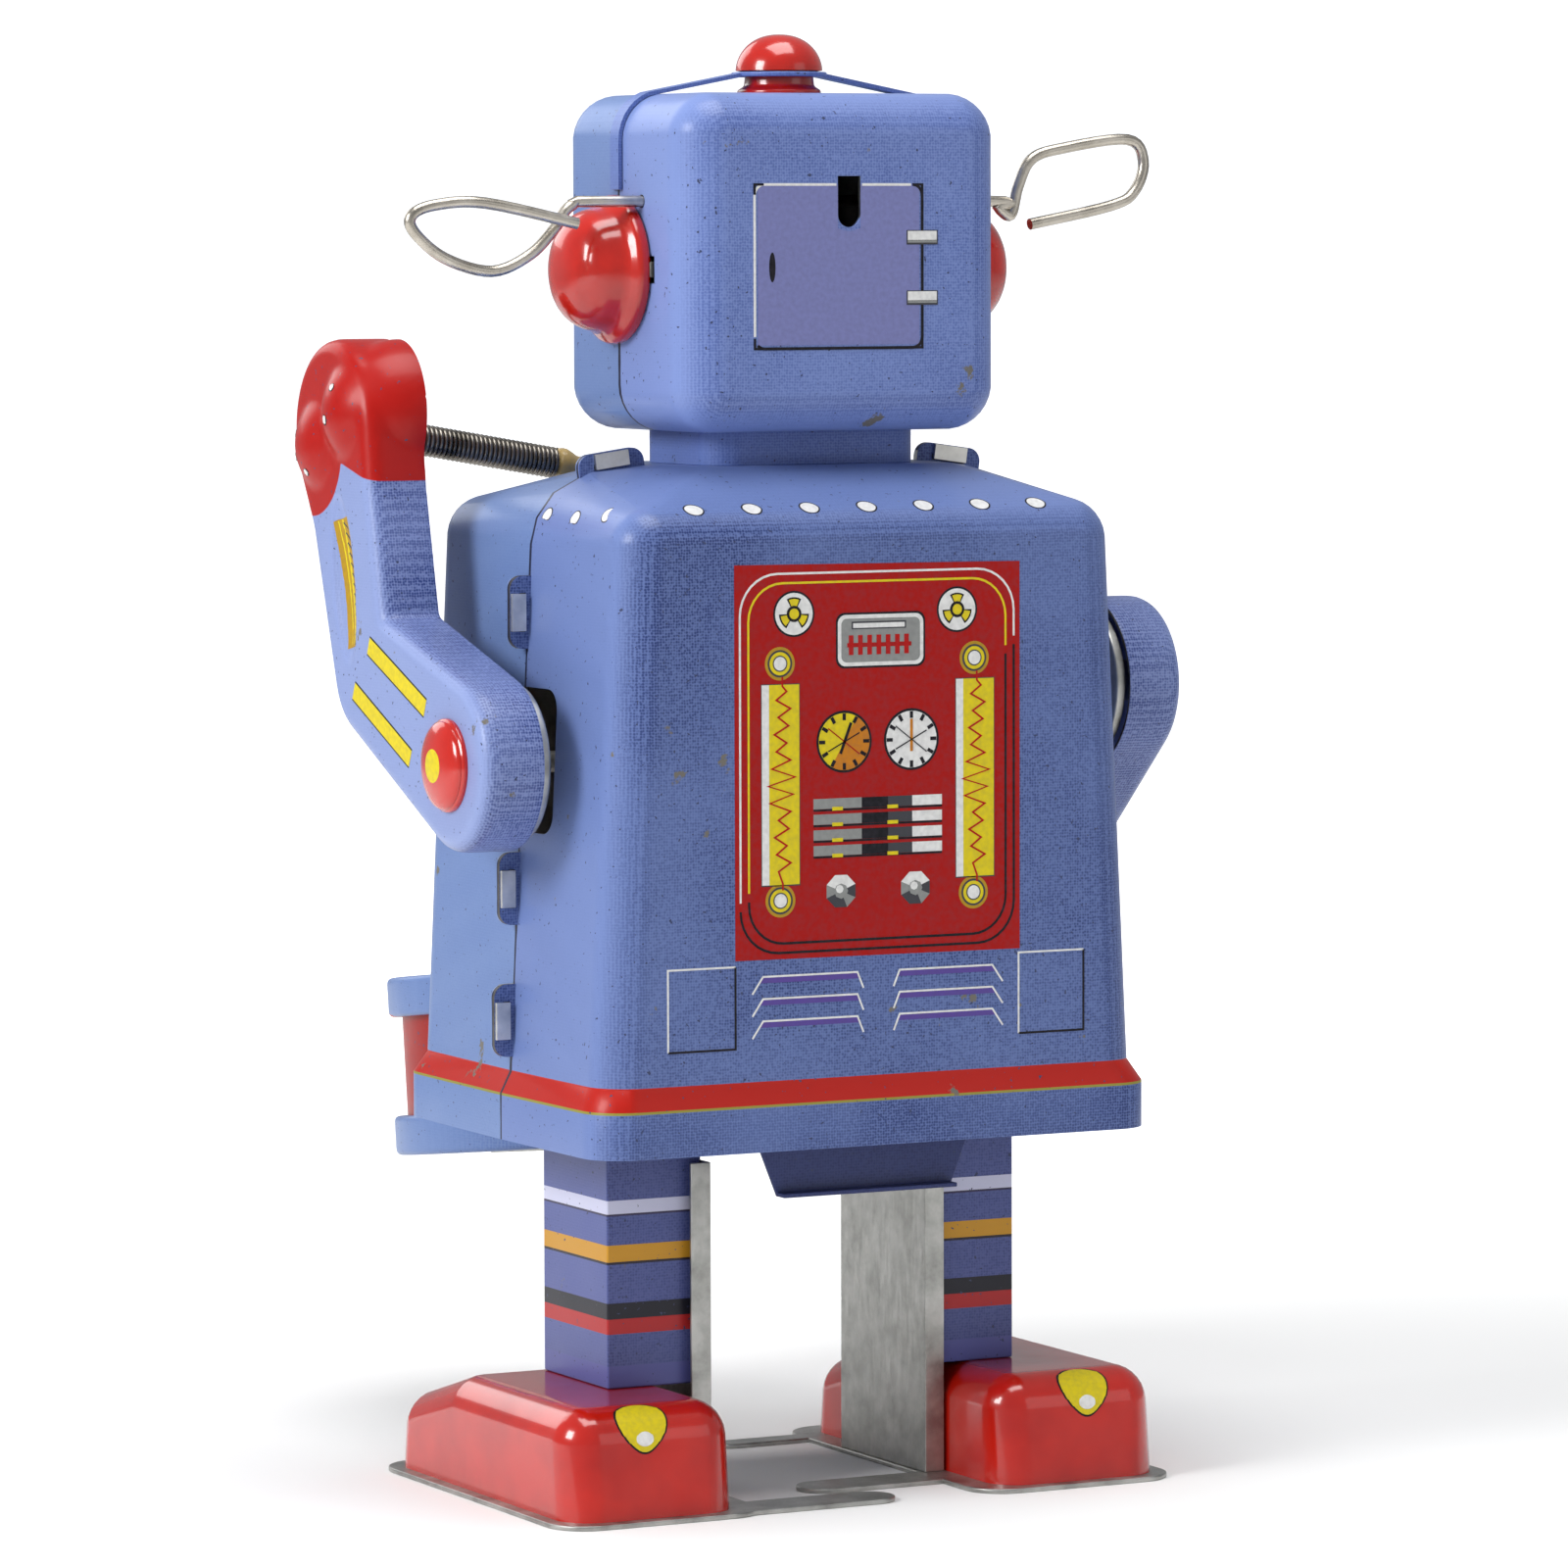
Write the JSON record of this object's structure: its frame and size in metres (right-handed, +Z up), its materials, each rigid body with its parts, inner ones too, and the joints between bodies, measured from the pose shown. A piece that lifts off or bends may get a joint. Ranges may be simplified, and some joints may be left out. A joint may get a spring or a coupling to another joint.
{
  "type": "toy robot",
  "caption": "Clockwork tin drummer robot: boxy lithographed body and head, wire loop antennas, swinging arms with spring drumsticks, a drum, striding legs and a winding key.",
  "frame": {"origin": "on the ground under the middle of the head and body, in the plane where their front and rear shells meet", "axes": "+Z up, -Y the robot's front, +X its left hand"},
  "size_m": [0.1011, 0.1077, 0.1734],
  "materials": {
    "red_tin": "gloss red lithographed enamel on tinplate",
    "blue_tin": "gloss periwinkle lithographed enamel on tinplate",
    "white_tin": "gloss white enamel on tinplate",
    "brass": "turned and stamped, slightly dull",
    "spring_steel": "blued spring steel",
    "bare_steel": "bare tinned steel, dull"
  },
  "bodies": {
    "torso": {"body_rear_shell": "blue_tin", "body_front_shell": "blue_tin", "base_plate": "blue_tin", "neck_collar": "blue_tin", "head_rear_shell": "blue_tin", "head_front_shell": "blue_tin", "head_strap": "blue_tin", "dome_light": "red_tin", "ear_left": "red_tin", "ear_right": "red_tin", "drum_shell": "red_tin", "drum_hoop_top": "blue_tin", "drum_hoop_bottom": "blue_tin", "drum_head_top": "white_tin", "drum_head_bottom": "white_tin", "drum_bracket": "bare_steel", "motor_plate_left": "bare_steel", "motor_plate_right": "bare_steel", "motor_pillars": "bare_steel", "hip_pins": "bare_steel", "arm_bearing_left": "bare_steel", "arm_bearing_right": "bare_steel", "mainspring": "spring_steel"},
    "antenna": {"antenna_wire": "bare_steel"},
    "left_arm": {"arm_shell_left": "blue_tin", "arm_hub_left": "bare_steel", "arm_button_left": "red_tin", "arm_axle_left": "bare_steel", "arm_lever_left": "bare_steel", "stick_spring_left": "bare_steel", "stick_tip_left": "brass"},
    "right_arm": {"arm_shell_right": "blue_tin", "arm_hub_right": "bare_steel", "arm_button_right": "red_tin", "arm_axle_right": "bare_steel", "arm_lever_right": "bare_steel", "stick_spring_right": "bare_steel", "stick_tip_right": "brass"},
    "left_leg": {"leg_cover_left": "blue_tin", "leg_channel_left": "bare_steel", "shoe_left": "red_tin", "sole_left": "bare_steel"},
    "right_leg": {"leg_cover_right": "blue_tin", "leg_channel_right": "bare_steel", "shoe_right": "red_tin", "sole_right": "bare_steel"},
    "winding": {"winding_arbor": "bare_steel", "ratchet_wheel": "bare_steel", "winding_key": "bare_steel"},
    "great": {"great_wheel": "brass", "click_pawl": "bare_steel"},
    "crank": {"crankshaft": "brass", "crank_disc_left": "bare_steel", "crank_disc_right": "bare_steel"},
    "escape": {"escape_wheel": "brass"},
    "anchor": {"pallet": "bare_steel"}
  },
  "joints": [
    {"name": "antenna_swivel", "type": "hinge", "parent": "torso", "child": "antenna", "pos_m": [0, 0.006, 0.1535], "axis": [1, 0, 0], "range_deg": [-12, 12]},
    {"name": "left_arm_swing", "type": "hinge", "parent": "torso", "child": "left_arm", "pos_m": [0, 0.006, 0.088], "axis": [1, 0, 0], "range_deg": [-5, 72]},
    {"name": "right_arm_swing", "type": "hinge", "parent": "torso", "child": "right_arm", "pos_m": [0, 0.006, 0.0953], "axis": [1, 0, 0], "range_deg": [-72, 5]},
    {"name": "left_leg_swing", "type": "hinge", "parent": "torso", "child": "left_leg", "pos_m": [0, -0.001, 0.05], "axis": [1, 0, 0], "range_deg": [-8, 8]},
    {"name": "right_leg_swing", "type": "hinge", "parent": "torso", "child": "right_leg", "pos_m": [0, -0.001, 0.05], "axis": [1, 0, 0], "range_deg": [-8, 8]},
    {"name": "key_wind", "type": "hinge", "parent": "torso", "child": "winding", "pos_m": [0, 0.0075, 0.0649], "axis": [1, 0, 0], "continuous": true},
    {"name": "great_wheel_spin", "type": "hinge", "parent": "torso", "child": "great", "pos_m": [0, 0.0075, 0.0649], "axis": [1, 0, 0], "continuous": true},
    {"name": "crank_spin", "type": "hinge", "parent": "torso", "child": "crank", "pos_m": [0, -0.00403, 0.08137], "axis": [1, 0, 0], "continuous": true},
    {"name": "escape_spin", "type": "hinge", "parent": "torso", "child": "escape", "pos_m": [0, -0.00269, 0.09661], "axis": [1, 0, 0], "continuous": true},
    {"name": "pallet_rock", "type": "hinge", "parent": "torso", "child": "anchor", "pos_m": [0, -0.00181, 0.10677], "axis": [1, 0, 0], "range_deg": [-4, 4]}
  ],
  "couplings": [
    {"joint": "right_arm_swing", "follows": "left_arm_swing", "ratio": -1},
    {"joint": "right_leg_swing", "follows": "left_leg_swing", "ratio": -1},
    {"joint": "crank_spin", "follows": "great_wheel_spin", "ratio": -4},
    {"joint": "escape_spin", "follows": "great_wheel_spin", "ratio": 15}
  ]
}
